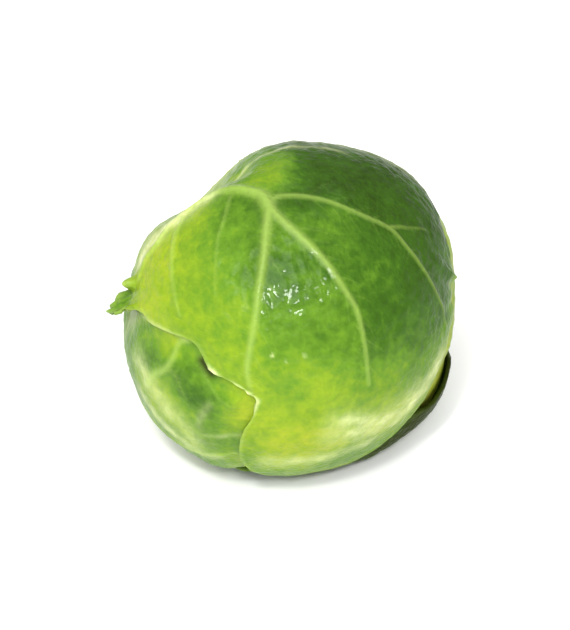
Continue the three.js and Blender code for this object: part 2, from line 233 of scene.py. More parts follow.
# How far a point is inside its cell of a random net, 0 on the net's lines.
def cellDepth(points, size, seed):
    side = 24
    seeds = np.random.RandomState(seed).uniform(0.08, 0.92, (side, side, side, 3))
    p = points / size + 100.0
    base = np.floor(p).astype(int)
    first = np.full(len(points), 9.0)      # the two nearest seeds so far
    second = np.full(len(points), 9.0)
    for dx in (-1, 0, 1):
        for dy in (-1, 0, 1):
            for dz in (-1, 0, 1):
                cell = base + (dx, dy, dz)
                at = cell + seeds[cell[:, 0] % side, cell[:, 1] % side, cell[:, 2] % side]
                d = np.linalg.norm(p - at, axis=1)
                second = np.minimum(second, np.maximum(first, d))
                first = np.minimum(first, d)
    return second - first


def smoothPath(points, steps=6):
    p = np.array(points, float)
    p = np.vstack([2 * p[0] - p[1], p, 2 * p[-1] - p[-2]])
    out = []
    for i in range(1, len(p) - 2):
        for t in np.arange(steps) / steps:
            out.append(0.5 * (2 * p[i] + (p[i + 1] - p[i - 1]) * t
                              + (2 * p[i - 1] - 5 * p[i] + 4 * p[i + 1] - p[i + 2]) * t * t
                              + (3 * p[i] - p[i - 1] - 3 * p[i + 1] + p[i + 2]) * t ** 3))
    return np.array(out + [p[-2]])


# A vein is a path of directions with a half-width in degrees and a height at its start and end.
def veinAt(turn, points, half, height, pale=1.0):
    line = smoothPath(points)
    return {"path": directionAt(leafAxes(turn), line[:, 0], line[:, 1]), "half": half,
            "height": height, "pale": pale}


# The angle from each direction to a path, and the share of the path's way there.
def nearPath(path, directions):
    best = np.full(len(directions), 9.0)
    share = np.zeros(len(directions))
    spans = len(path) - 1
    middle = path[len(path) // 2]
    beyond = 0.2      # radians past its ends, where a path does nothing more
    size = np.linalg.norm(path - middle, axis=1).max() + beyond
    near = np.nonzero(np.linalg.norm(directions - middle, axis=1) < size)[0]
    d = directions[near]
    for i in range(spans):
        edge = path[i + 1] - path[i]
        t = np.clip((d - path[i]) @ edge / (edge @ edge + 1e-12), 0, 1)
        gap = np.linalg.norm(d - path[i] - t[:, None] * edge, axis=1)
        closer = gap < best[near]
        best[near[closer]] = gap[closer]
        share[near[closer]] = (i + t[closer]) / spans
    return np.degrees(best), share


# Side shoots of a vein: they leave it at an angle, bend forward and fade away. A pair is the range
# that a random factor is drawn from.
shoot = {
    "until": 0.97,           # share of the vein that has shoots
    "first": (0.2, 0.8),     # start of the first one, in gaps
    "gap": (0.75, 1.3),
    "length": (0.7, 1.2),
    "angle": (0.8, 1.15),
    "bend": (2.0, 5.0),      # degrees at each step, as is wander
    "wander": 5,
    "steps": 8,
    "pale": 0.32,            # as a share of the vein's own
}


def shootsOf(vein, rng, every, length, angle, half, height, start=0.12):
    path = vein["path"]
    steps = np.degrees(np.linalg.norm(np.diff(path, axis=0), axis=1))
    run = np.concatenate([[0], np.cumsum(steps)])
    found = []
    for side in (-1, 1):
        at = run[-1] * start + rng.uniform(*shoot["first"]) * every
        while at < run[-1] * shoot["until"]:
            i = min(np.searchsorted(run, at), len(path) - 1)
            here = path[i]
            tangent = path[i] - path[i - 1]
            tangent /= np.linalg.norm(tangent)
            share = at / run[-1]
            turn = math.radians(side * angle * rng.uniform(*shoot["angle"]))
            points = [here]
            reach = length * rng.uniform(*shoot["length"]) * (1.1 - 0.55 * share)
            bend = math.radians(rng.uniform(*shoot["bend"])) * -side
            for step in range(shoot["steps"]):
                sideways = np.cross(here, tangent)
                heading = tangent * math.cos(turn) + sideways * math.sin(turn)
                here = here + heading * math.radians(reach / shoot["steps"])
                here /= np.linalg.norm(here)
                tangent = tangent - here * (tangent @ here)
                tangent /= np.linalg.norm(tangent)
                turn += bend + math.radians(rng.uniform(-shoot["wander"], shoot["wander"]))
                points.append(here)
            found.append({"path": np.array(points),
                          "half": (half * (1.15 - 0.5 * share), half * 0.5),
                          "height": (height * (1.1 - 0.5 * share), 0.0),
                          "pale": shoot["pale"] * vein["pale"]})
            at += every * rng.uniform(*shoot["gap"])
    return found


# The front leaf's veins fan out from the point where its thick stalk opens. Two run down its face
# and one round its right side, where it forks. The others run over its upper left.
stalkVein = veinAt(-4, [(19.5, 12), (47, 9), (60, 7.6), (70, 6), (76, 4.2), (83, 1.5)], (5.0, 2.4),
                   (0.3, 0.45), 0.2)
faceVeins = [
    veinAt(-4, [(83, 1.5), (94, -0.5), (103, -2.2), (114, -5.2), (123, -7.5), (132, -10.4),
                (140, -12.7), (147, -12.8), (156, -13.8)], (1.5, 0.7), (0.55, 0.3)),
    veinAt(-4, [(83, 1.5), (86.6, 3.1), (91, 6.4), (97, 11.5), (102, 15.6), (108, 19.7),
                (116, 23.7), (124, 27.2), (133, 28.4), (143, 28.5), (156, 28)], (1.5, 0.6), (0.55, 0.2)),
    veinAt(-4, [(82, 1.6), (80, 4), (79.3, 7.3), (79.6, 12.8), (81, 20), (83, 26), (86, 34.5), (89, 44),
                (96, 50.5), (105, 57), (117, 63), (138, 69), (160, 70)], (1.0, 0.6), (0.42, 0.2), 0.8),
]
forkVein = veinAt(-4, [(88.2, 43.8), (86, 48), (84, 52), (78, 60)], (0.7, 0.4), (0.25, 0.08), 0.6)
upperVeins = [
    veinAt(-4, [(82, 1), (78, -0.6), (75.7, -3.8), (71.7, -9.6), (69, -16), (68.3, -24), (70, -31),
                (73, -38), (78.8, -43.6), (81.5, -51.5), (89.6, -57)], (2.2, 1.3), (0.75, 0.4), 1.0),
    veinAt(-4, [(71, -10), (76, -12), (84.7, -14.5), (91, -17), (99, -18.7), (107, -20), (113, -20.7)],
           (0.9, 0.45), (0.25, 0.06), 0.5),
    veinAt(-4, [(73, -31), (80.6, -34), (90, -36), (100, -37), (110, -36.6), (118, -35.6)],
           (1.0, 0.6), (0.32, 0.1), 0.75),
]

# The veins that show on the leaf at the lower left.
lowerLeftVeins = [
    veinAt(-108, [(122.4, 22), (126.4, 29.3), (133, 35.5), (135.4, 40.5), (136.2, 46.7),
                  (143.4, 49.9)], (1.2, 1.0), (0.3, 0.3)),
    veinAt(-108, [(134, 37.2), (139.6, 34.4), (144.2, 27.1)], (1.0, 0.5), (0.2, 0.05), 0.45),
    veinAt(-108, [(150, 44), (154, 36), (160, 29), (166, 25)], (1.0, 0.5), (0.2, 0.05), 0.35),
]

# The other leaves have a midrib, and side veins on the left and right by turns.
ribs = {
    "midribEnd": 0.93,            # as a share of the leaf's length
    "midribHalf": (4.2, 0.8),
    "midribHeight": (0.8, 0.15),
    "perSide": 6,
    "starts": ((-1, 1), (1, 2)),  # side, and its first step of the leaf's length
    "every": 3,
    "lengthSteps": 19,
    "out": 0.86,                  # share of the way to the edge
    "bow": 7,                     # degrees towards the tip
    "quietHeight": (0.1, 0.02),   # on the leaf whose own veins hardly show
    "quietPale": 0.22,
}


def ribsOf(leaf):
    base = head["baseAlong"]
    length = leaf["tip"] - base
    rows = np.linspace(base, base + ribs["midribEnd"] * length, 20)
    found = [{"path": placeOn(leaf, rows, 0.0), "half": ribs["midribHalf"],
              "height": ribs["midribHeight"], "pale": 1.0}]
    for side, first in ribs["starts"]:
        for k in range(ribs["perSide"]):
            row = base + length * (first + ribs["every"] * k) / ribs["lengthSteps"]
            share = (row - base) / length
            out = np.linspace(0, ribs["out"], 12) * side
            bow = row + ribs["bow"] * np.abs(out) ** 2
            found.append({"path": placeOn(leaf, np.minimum(bow, leaf["tip"]), out),
                          "half": (1.5 - 0.8 * share, 0.5), "height": (0.42 - 0.2 * share, 0.03),
                          "pale": 0.9 - 0.3 * share})
    return found


def veinsOf(leaf):
    rng = np.random.RandomState(40 + leaf["seed"])
    if leaf.get("front"):
        shoots = [s for v in faceVeins for s in shootsOf(v, rng, 8, 15, 48, 0.5, 0.16)]
        shoots += [s for v in upperVeins for s in shootsOf(v, rng, 8, 11, 52, 0.45, 0.12)]
        shoots += shootsOf(stalkVein, rng, 11, 24, 42, 0.7, 0.22, start=0.3)
        return [stalkVein, *faceVeins, forkVein, *upperVeins, *shoots]
    main = ribsOf(leaf)
    shoots = [s for v in main[1:] for s in shootsOf(v, rng, 9, 10, 55, 0.45, 0.12)]
    if leaf.get("quietVeins"):
        for vein in main[1:]:
            vein["height"] = ribs["quietHeight"]
            vein["pale"] = ribs["quietPale"]
        main = main + lowerLeftVeins
    return main + shoots


# A vein is a ridge on a wider, lower one, and its pale line has a fainter band beside it.
veinForm = {
    "relief": 0.75,
    "shoulder": 0.35,
    "shoulderWidth": 3.2,     # widths are shares of the vein's own half-width
    "paleWidth": 1.35,
    "paleFades": 0.35,
    "band": 0.3,
    "bandWidth": 3,
}


def veinFields(leaf, directions):
    relief = np.zeros(len(directions))
    pale = np.zeros(len(directions))
    for vein in veinsOf(leaf):
        distance, share = nearPath(vein["path"], directions)
        half = vein["half"][0] + (vein["half"][1] - vein["half"][0]) * share
        height = vein["height"][0] + (vein["height"][1] - vein["height"][0]) * share

        def spreadOver(width):
            return np.exp(-(distance / (width * half)) ** 2)

        line = vein["pale"] * (1 - veinForm["paleFades"] * share)
        band = veinForm["band"] * vein["pale"] * (1 - share)
        relief = np.maximum(relief, height * spreadOver(1))
        relief = np.maximum(relief, veinForm["shoulder"] * height * spreadOver(veinForm["shoulderWidth"]))
        pale = np.maximum(pale, line * spreadOver(veinForm["paleWidth"]))
        pale = np.maximum(pale, band * spreadOver(veinForm["bandWidth"]))
    return veinForm["relief"] * relief, pale


# A streak is a path with a half-width in degrees. Blooms and sheens are pale, part waxy bloom and part
# painted sheen: broad bands low on the head, where the white floor's light is painted on the rims, and
# over its shoulder, a line on the crown, and small specks that are painted glints. Crinkles and glints
# are the bright broken bits of the front leaf's edge, raised a little and painted bright as highlights.
# Shades, by leaf, are painted shade where little light gets in.
def streakAt(turn, points, half, strength):
    line = smoothPath(points)
    return {"path": directionAt(leafAxes(turn), line[:, 0], line[:, 1]), "half": half,
            "strength": strength}


bloomsAndSheens = [
    streakAt(0, [(164, 12), (168, 17), (173, 23), (177.5, 29), (180, 36), (181, 42)], 4.0, 0.78),
    streakAt(0, [(191, 30), (188, 39), (184.5, 47), (181.5, 55), (177, 63), (170, 71)], 4.6, 0.78),
    streakAt(0, [(168, 4), (172, 14), (178, 24), (181, 34), (180, 46), (177, 56)], 8.0, 0.48),
    streakAt(0, [(185, -19), (187, -11), (188, 1), (190, 13), (193, 25), (197, 35)], 4.0, 0.42),
    streakAt(0, [(146, -71), (151, -66), (161, -60), (170, -52), (176, -45), (184, -36), (188, -26)],
             5.0, 0.42),
    streakAt(0, [(180, -70), (187, -62), (190, -54), (191, -44), (192, -33), (193, -24)], 3.0, 0.55),
    streakAt(-4, [(69, -10), (68, -18), (69, -25), (71, -32), (72, -38), (72, -44), (71, -50), (69, -56),
                  (66, -62), (64, -68)], 4.4, 0.8),
    streakAt(0, [(60, -20), (52, -14), (51, -7), (50, 2), (47.5, 12), (48, 21), (51, 28.5)], 1.2, 0.5),
    streakAt(-4, [(108, -66), (115, -57), (121, -49), (126, -40), (130, -33.5)], 1.1, 0.3),
    streakAt(-4, [(135.5, -4), (136.5, -3)], 0.7, 0.6),
    streakAt(-4, [(138.5, 0), (138.8, 1.2)], 0.5, 0.55),
    streakAt(-4, [(137.5, 6.5), (137.9, 8)], 0.6, 0.6),
    streakAt(-108, [(156, 30), (153, 26), (150, 22), (147.5, 17), (146, 9)], 1.5, 0.2),
    streakAt(-108, [(143, 13), (148, 11.8), (154, 11.3), (160, 11.4), (166, 12)], 1.2, 0.2),
]
crinklesAndGlints = [
    streakAt(-4, [(139.5, -27.4), (143.6, -23.7)], 1.1, 1.0),
    streakAt(-4, [(145.9, -19.3), (149.4, -13.9)], 1.1, 0.9),
    streakAt(-4, [(152.6, -15), (151.8, -11), (155.6, -12.5), (158.9, -14.6)], 0.9, 0.8),
]
shades = {
    2: [streakAt(0, [(206, -4), (213, 10), (218, 23), (221, 34), (219, 45), (224, 56), (234, 63),
                     (242, 69)], 10.0, 0.95)],
    3: [streakAt(-108, [(151, 43.1), (155.9, 38.9)], 1.8, 1.0)],
    4: [streakAt(56, [(112, 54), (118, 53), (125, 52.5), (131, 52), (137, 51.3), (145, 50)], 3.2, 0.8)],
}


# taper is the share of a streak over which its ends fade.
def streaksOver(streaks, directions, taper=0.0):
    total = np.zeros(len(directions))
    for streak in streaks:
        distance, share = nearPath(streak["path"], directions)
        strength = streak["strength"]
        if taper:
            strength = strength * fade(0, taper, np.minimum(share, 1 - share))
        total = np.maximum(total, strength * np.exp(-(distance / streak["half"]) ** 2))
    return total


# Where a leaf is darker or yellower, in its own angles: along, across, spread, tone.
leafTones = {
    1: [(98, -48, 16, 0.85), (113, -32, 14, 0.22), (133, -22, 13, 0.28), (92, -12, 9, -0.15),
        (107, 5, 12, -0.42), (131, 5, 12, -0.1), (154, -3, 14, 0.42), (155, 14, 12, 0.4),
        (174, 2, 10, 0.9), (139, 20, 9, -0.1), (124, 42, 14, -0.55), (146, 48, 10, -0.3),
        (162, 40, 10, 0.2), (178, 35, 7, 0.8), (89, 24, 10, -0.25), (96, 6, 7, -0.18),
        (118, 60, 9, -0.8), (65, 17, 18, -0.95), (64, 45, 16, -0.9), (56, -6, 10, 0.3),
        (63, 3, 8, 0.65), (70, 5, 7, 0.6), (81, -32, 9, 0.4), (99, -72, 9, -0.1)],
    # On leaf 3 the darker spots next to the front leaf's edge are painted shade under that edge.
    3: [(119, 41, 9, -0.3), (132, 43, 9, 0.05), (146, 42, 9, -0.6), (149, 31, 9, -0.6),
        (155, 17, 8, -0.5), (163, 24, 8, 0.3), (141, 20, 9, 0.3), (129, 24, 8, 0.5)],
    4: [(185, -15, 10, 0.85), (174, -8, 10, 0.8), (169, 11, 10, 0.7), (191, 1, 8, 0.7),
        (158, 24, 8, 1.0)],
}
ownToneWeight = 0.03      # of the leaf's one tone, which holds where no spot is near


def toneAt(leaf, directions):
    total = np.full(len(directions), ownToneWeight * leaf["tone"])
    weight = np.full(len(directions), ownToneWeight)
    for along, across, spread, tone in leafTones.get(leaf["seed"], []):
        near = np.exp(-(angleFrom(leaf["axes"], along, across, directions) / spread) ** 2)
        total += near * tone
        weight += near
    return total / weight


# The edge and the skin of every leaf. Sizes are of the random pattern, in millimetres.
leafShape = {
    "margins": 4,                 # broad waves along each side
    "marginCut": 0.055,           # how deep they cut, as a share of the reach
    "frontWaveEnds": (60, 74),    # the front leaf's waves die out where it reaches this far
    "edgeFrom": (0.72, 0.86),     # where the side and the tip start to lift, as shares
    "edgeStarts": (0.1, 0.35),    # the side lifts only past this share of the length
    "ripple": 0.5,                # of the edge, as a share of its lift
    "fineWave": 0.3,              # small crinkles, as a share too
    "fineWaveSize": 1.9,
    "ragged": 0.012,              # small cuts in the edge, as a share of the reach
    "raggedSize": 1.5,
    "rightRagged": 0.018,         # broader ones on the front leaf's right
    "rightRaggedSize": 3.2,
    "blister": 0.07,              # puffed skin between the small veins
    "blisterSize": 1.6,
    "grain": 0.035,
    "grainSize": 0.75,
    "nearVein": 0.8,              # share of the blisters that is lost on a vein
    "netLine": (0.02, 0.22),      # from the middle of a line of the net to its side
    # The bloom's pale also holds painted sheen and painted glints.
    "bloomAndSheenStrength": (0.85, 0.4),         # strength of the bloom, and how much it varies
    "bloomAndSheenSize": 1.3,
    "bloomAndSheenTaper": 0.22,
    "baseFade": 26,               # degrees of pale skin at the stem
    "grid": (120, 128),
    "frontGrid": (214, 212),
}

# The ruffled tuft on the front leaf's left edge: a lifted, lobed edge with a patch of knobs. jut is
# how far the edge runs out there, and crumble breaks up the crinkles, whose bits are raised a little and
# painted bright as highlights.
curl = {
    "along": 98.0, "spread": 9.0, "height": 1.0, "lobe": 6.5, "lobes": 0.3, "rough": 0.35,
    "roughSize": 0.8, "from": 0.84,
    "jut": 0.03, "jutVaries": 0.05, "jutSize": 1.1, "jutSpread": 8,
    "knobAt": (97, -66), "knobSpread": 9.0, "knobs": 2.0, "knobSize": 1.35, "knobCut": (-0.15, 0.55),
    "knobPale": 0.35,
    "crumble": (-0.5, 0.2), "crumbleSize": 0.7, "crumbleHeight": 0.3,
}


def tuftOn(leaf, directions, along, across, edgeShare):
    points = directions * head["radius"]
    near = np.exp(-((along - curl["along"]) / curl["spread"]) ** 2) * (across < 0)
    lobes = curl["lobes"] * np.cos(2 * math.pi * (along - curl["along"]) / curl["lobe"])
    rough = curl["rough"] * lumps(points, curl["roughSize"], 92)
    ruffle = near * (curl["height"] + lobes + rough) * fade(curl["from"], 1, edgeShare)
    knobs = fade(*curl["knobCut"], lumps(points, curl["knobSize"], 93))
    patch = np.exp(-(angleFrom(leaf["axes"], *curl["knobAt"], directions) / curl["knobSpread"]) ** 4)
    crumbs = fade(*curl["crumble"], lumps(points, curl["crumbleSize"], 94))
    # Bits of the edge along the crinkles: raised a little, and painted pale as highlights.
    broken = streaksOver(crinklesAndGlints, directions) * crumbs
    rise = ruffle + curl["knobs"] * knobs * patch + curl["crumbleHeight"] * broken
    pale = np.maximum(broken, curl["knobPale"] * (knobs - 0.3) * patch)
    return rise, pale


# What a leaf's skin is like in each direction: its radius, the height it may not go below, and
# the fields that its colours read.
def skinOf(leaf, directions, edgeShare):
    above = [coverOf(other, directions) for other in leaves[leaves.index(leaf) + 1:]]
    depth = head["layer"] * sum(above) if above else np.zeros(len(directions))
    covered = np.max(above, axis=0) if above else np.zeros(len(directions))
    along, across = anglesOf(leaf["axes"], directions)
    row = rowOf(leaf, along, across)
    free = fade(*head["restCos"], directions[:, 2])
    bare = free * fade(0, 0.4, 1 - covered)
    end = (row - head["baseAlong"]) / (leaf["tip"] - head["baseAlong"])
    sideFrom, tipFrom = leafShape["edgeFrom"]
    side = fade(sideFrom, 1, edgeShare) * fade(*leafShape["edgeStarts"], end)
    edge = np.maximum(side, fade(tipFrom, 1, end))
    points = directions * head["radius"]
    wave = leafShape["ripple"] * np.sin(2 * math.pi * leafShape["margins"] * end + leaf["turn"])
    wave = wave + leafShape["fineWave"] * lumps(points, leafShape["fineWaveSize"], leaf["seed"] + 60)
    lift = tableAt(frontLift, row) if leaf.get("front") else leaf["lift"]
    raised = bare * edge * lift * (1 + wave)
    relief, pale = veinFields(leaf, directions)
    net = cellDepth(points, leafShape["blisterSize"], leaf["seed"])
    blister = leafShape["blister"] * (fade(0, 0.5, net) - 0.5)
    blister = blister + leafShape["grain"] * lumps(points, leafShape["grainSize"], leaf["seed"] + 30)
    skin = relief + blister * (1 - leafShape["nearVein"] * fade(0.1, 0.6, pale))
    skin = skin * (head["pressed"] + (1 - head["pressed"]) * bare)
    # Pale bloom with painted sheen and painted glints, and on the front leaf the painted highlights of
    # the crinkles.
    bloomAndSheen = streaksOver(bloomsAndSheens, directions, leafShape["bloomAndSheenTaper"])
    bloomAndSheenStrength, bloomAndSheenVaries = leafShape["bloomAndSheenStrength"]
    bloomAndSheen = bloomAndSheen * (bloomAndSheenStrength + bloomAndSheenVaries * lumps(points, leafShape["bloomAndSheenSize"], 95))
    if leaf.get("front"):
        tuft, tuftPale = tuftOn(leaf, directions, along, across, edgeShare)
        raised = raised + tuft
        bloomAndSheen = np.maximum(bloomAndSheen, tuftPale)
    fields = {"vein": np.clip(pale, 0, 1.4), "edge": edge, "hidden": covered,
              "net": 1 - fade(*leafShape["netLine"], net), "bloomAndSheen": np.clip(bloomAndSheen, 0, 1),
              "shade": streaksOver(shades.get(leaf["seed"], []), directions)}
    return headHeight(directions) - depth + raised + skin, depth, fields


def deselectAll():
    bpy.ops.object.select_all(action="DESELECT")


def setAttribute(mesh, name, values):
    attribute = mesh.attributes.new(name, "FLOAT", "POINT")
    attribute.data.foreach_set("value", np.asarray(values, np.float32))


def readPoints(mesh):
    co = np.zeros(len(mesh.vertices) * 3, np.float32)
    mesh.vertices.foreach_get("co", co)
    return co.reshape(-1, 3).astype(float)


def readFaces(mesh, kind):
    values = np.zeros(len(mesh.polygons) * 3, np.float32)
    mesh.polygons.foreach_get(kind, values)
    return values.reshape(-1, 3)


def writePoints(mesh, points):
    mesh.vertices.foreach_set("co", np.asarray(points, np.float32).ravel())
    mesh.update()


def faceOutwards(sheet):
    bpy.ops.object.mode_set(mode="EDIT")
    bpy.ops.mesh.select_all(action="SELECT")
    bpy.ops.mesh.normals_make_consistent(inside=False)
    bpy.ops.object.mode_set(mode="OBJECT")
    outward = readFaces(sheet.data, "center") - headCentre * mm
    if (outward * readFaces(sheet.data, "normal")).sum() < 0:
        sheet.data.flip_normals()


# How ragged the edge is: the front leaf also has the tuft on its left and broader cuts on its right.
def raggedness(leaf, directions, along, share):
    points = directions * head["radius"]
    ragged = leafShape["ragged"] * lumps(points, leafShape["raggedSize"], leaf["seed"] + 70)
    if leaf.get("front"):
        jut = curl["jut"] + curl["jutVaries"] * lumps(points, curl["jutSize"], 77)
        ragged = ragged + jut * np.exp(-((along - curl["along"]) / curl["jutSpread"]) ** 2) * (share < 0)
        broad = leafShape["rightRagged"] * lumps(points, leafShape["rightRaggedSize"], 78)
        ragged = ragged + broad * (share > 0)
    return ragged


def buildLeaf(leaf):
    rows, columns = leafShape["frontGrid"] if leaf.get("front") else leafShape["grid"]
    deselectAll()
    bpy.ops.mesh.primitive_grid_add(x_subdivisions=columns, y_subdivisions=rows, size=2)
    sheet = bpy.context.active_object
    sheet.name = leaf["name"] + "_skin"
    flat = readPoints(sheet.data)
    share = np.clip(flat[:, 0], -1, 1)
    t = np.clip((flat[:, 1] + 1) / 2, 0, 1)
    row = head["baseAlong"] + (leaf["tip"] - head["baseAlong"]) * t
    reach = reachAt(leaf, row, share)
    wave = 0.5 + 0.5 * np.sin(2 * math.pi * leafShape["margins"] * t + leaf["turn"])
    if leaf.get("front"):
        wave = wave * (1 - fade(*leafShape["frontWaveEnds"], reach))
    across = share * reach * (1 - leafShape["marginCut"] * wave)
    along = row + rowShear(leaf, across) * (row - head["baseAlong"])
    directions = directionAt(leaf["axes"], along, across)
    ragged = raggedness(leaf, directions, along, share)
    across = across * (1 + ragged * fade(0.8, 1, np.abs(share)))
    directions = directionAt(leaf["axes"], along, across)
    radius, lowest, fields = skinOf(leaf, directions, np.abs(share))
    points = headCentre + directions * radius[:, None]
    points[:, 2] = np.maximum(points[:, 2], lowest)
    writePoints(sheet.data, points * mm)
    for name, values in fields.items():
        setAttribute(sheet.data, name, values)
    setAttribute(sheet.data, "tone", toneAt(leaf, directions))
    setAttribute(sheet.data, "base", 1 - fade(0, leafShape["baseFade"], row - head["baseAlong"]))
    faceOutwards(sheet)
    shell = sheet.modifiers.new("thickness", "SOLIDIFY")
    shell.thickness = head["thickness"] * mm
    shell.offset = -1
    bpy.ops.object.modifier_apply(modifier=shell.name)
    bpy.ops.object.shade_smooth()
    return sheet


def triangles(piece):
    return sum(len(p.vertices) - 2 for p in piece.data.polygons)


def newMaterial(name):
    material = bpy.data.materials.new(name)
    material.use_nodes = True
    return material, material.node_tree.nodes, material.node_tree.links


def addNode(nodes, kind, **inputs):
    node = nodes.new(kind)
    for key, value in inputs.items():
        setattr(node, key, value)
    return node


def rampOf(nodes, links, value, stops):
    node = addNode(nodes, "ShaderNodeValToRGB")
    elements = node.color_ramp.elements
    while len(elements) < len(stops):
        elements.new(0.5)
    for element, (position, colour) in zip(elements, stops):
        element.position = position
        element.color = (*colour, 1)
    links.new(value, node.inputs[0])
    return node.outputs[0]


# A waxy leaf. Its tone goes through a ramp from dark to yellow, then come the pale veins, edge,
# base, the bloom with its painted sheen and glints, and the painted shade. Scales of patterns are per
# metre, and depths are metres.
leafLook = {
    "colours": [(0.0, (0.016, 0.038, 0.003)), (0.3, (0.036, 0.096, 0.007)),
                (0.52, (0.092, 0.195, 0.013)), (0.72, (0.182, 0.280, 0.013)),
                (0.9, (0.265, 0.330, 0.016)), (1.0, (0.340, 0.380, 0.040))],
    "toneRange": (-1.2, 1.3),
    "patches": 0.2, "patchScale": 220, "mottle": 0.16, "mottleScale": 800,
    "hiddenPale": 0.5, "netPale": 0.12,
    "vein": (0.30, 0.42, 0.09), "veinFrom": 0.12, "veinStrength": 0.62,
    "edge": (0.32, 0.43, 0.10), "edgeFrom": 0.82, "edgeStrength": 0.25,
    "base": (0.46, 0.54, 0.20), "baseStrength": 0.75,
    # The bloom colour is pale wax with painted sheen and glints; the shade colour is painted shade.
    "bloomAndSheen": (0.66, 0.70, 0.34), "bloomAndSheenScale": 900, "bloomAndSheenBreaks": (0.36, 0.62, 0.55, 1.0),
    "shade": (0.020, 0.028, 0.002),
    "roughness": (0.3, 0.46), "roughScale": 500,
    "bump": 0.55, "cellScale": 1900, "cellDepth": 0.00016, "grainScale": 3300, "grainDepth": 0.00005,
    "ior": 1.45, "gloss": 0.04, "coat": 0.12, "coatRoughness": 0.07,
    "glow": 0.12, "glowRadius": (0.6, 1.0, 0.2), "glowDepth": 0.0007,
}
undersideLook = {**leafLook, "gloss": 0.02, "coat": 0.03}


def leafMaterial(name, look):
    material, nodes, links = newMaterial(name)
    skin = nodes["Principled BSDF"]
    place = addNode(nodes, "ShaderNodeTexCoord")

    def attribute(attributeName):
        return addNode(nodes, "ShaderNodeAttribute", attribute_name=attributeName).outputs["Fac"]

    def noise(scale, detail, roughness=0.55):
        node = addNode(nodes, "ShaderNodeTexNoise")
        node.inputs["Scale"].default_value = scale
        node.inputs["Detail"].default_value = detail
        node.inputs["Roughness"].default_value = roughness
        links.new(place.outputs["Object"], node.inputs["Vector"])
        return node.outputs["Fac"]

    def plus(total, value, scale):
        node = addNode(nodes, "ShaderNodeMath", operation="MULTIPLY_ADD")
        links.new(value, node.inputs[0])
        node.inputs[1].default_value = scale
        links.new(total, node.inputs[2])
        return node.outputs[0]

    def times(first, second):
        node = addNode(nodes, "ShaderNodeMath", operation="MULTIPLY")
        links.new(first, node.inputs[0])
        links.new(second, node.inputs[1])
        return node.outputs[0]

    def remap(value, low, high, toLow=0.0, toHigh=1.0):
        node = addNode(nodes, "ShaderNodeMapRange")
        for key, number in (("From Min", low), ("From Max", high), ("To Min", toLow), ("To Max", toHigh)):
            node.inputs[key].default_value = number
        links.new(value, node.inputs["Value"])
        return node.outputs["Result"]

    def blend(factor, under, colour):
        node = addNode(nodes, "ShaderNodeMix", data_type="RGBA")
        links.new(factor, node.inputs[0])
        links.new(under, node.inputs[6])
        node.inputs[7].default_value = (*colour, 1)
        return node.outputs[2]

    def bumpOf(height, depth):
        node = addNode(nodes, "ShaderNodeBump")
        node.inputs["Strength"].default_value = look["bump"]
        node.inputs["Distance"].default_value = depth
        links.new(height, node.inputs["Height"])
        return node

    tone = attribute("tone")
    tone = plus(tone, remap(noise(look["patchScale"], 3), 0.3, 0.7, -1, 1), look["patches"])
    tone = plus(tone, remap(noise(look["mottleScale"], 3, 0.6), 0.32, 0.68, -1, 1), look["mottle"])
    tone = plus(tone, attribute("hidden"), look["hiddenPale"])
    tone = plus(tone, attribute("net"), look["netPale"])
    body = rampOf(nodes, links, remap(tone, *look["toneRange"]), look["colours"])
    veins = remap(attribute("vein"), look["veinFrom"], 1, 0, look["veinStrength"])
    edge = remap(attribute("edge"), look["edgeFrom"], 1, 0, look["edgeStrength"])
    base = remap(attribute("base"), 0, 1, 0, look["baseStrength"])
    # Bloom with painted sheen and glints, broken up by noise, then painted shade over all.
    bloomAndSheenStrength = times(attribute("bloomAndSheen"), remap(noise(look["bloomAndSheenScale"], 4, 0.65), *look["bloomAndSheenBreaks"]))
    veined = blend(veins, body, look["vein"])
    edged = blend(edge, veined, look["edge"])
    based = blend(base, edged, look["base"])
    withBloomAndSheen = blend(bloomAndSheenStrength, based, look["bloomAndSheen"])
    shaded = blend(attribute("shade"), withBloomAndSheen, look["shade"])
    links.new(shaded, skin.inputs["Base Color"])
    rough = remap(noise(look["roughScale"], 3), 0.3, 0.7, *look["roughness"])
    links.new(rough, skin.inputs["Roughness"])

    cells = addNode(nodes, "ShaderNodeTexVoronoi", feature="F1")
    cells.inputs["Scale"].default_value = look["cellScale"]
    links.new(place.outputs["Object"], cells.inputs["Vector"])
    cellBump = bumpOf(cells.outputs["Distance"], look["cellDepth"])
    grainBump = bumpOf(noise(look["grainScale"], 3, 0.6), look["grainDepth"])
    links.new(cellBump.outputs["Normal"], grainBump.inputs["Normal"])
    links.new(grainBump.outputs["Normal"], skin.inputs["Normal"])
    skin.inputs["IOR"].default_value = look["ior"]
    skin.inputs["Specular IOR Level"].default_value = look["gloss"]
    skin.inputs["Coat Weight"].default_value = look["coat"]
    skin.inputs["Coat Roughness"].default_value = look["coatRoughness"]
    skin.inputs["Subsurface Weight"].default_value = look["glow"]
    skin.inputs["Subsurface Radius"].default_value = look["glowRadius"]
    skin.inputs["Subsurface Scale"].default_value = look["glowDepth"]
    return material


print("leaves")
for leaf in leaves:
    piece = buildLeaf(leaf)
    look = undersideLook if leaf.get("underside") else leafLook
    piece.data.materials.append(leafMaterial(leaf["name"] + "_wax", look))
    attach(piece, "root")
    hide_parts(leaf["name"])
    print(piece.name, triangles(piece))

# The tight heart inside, folded from small leaves.
heartShape = {
    "segments": 180,
    "rings": 120,
    "fold": 0.5,          # step down from one small leaf to the next
    "under": 0.3,         # gap to the wrapper leaves
    "rough": 0.05,
    "roughSize": 1.2,
    "netSize": 2,
    "tone": 0.8,
}


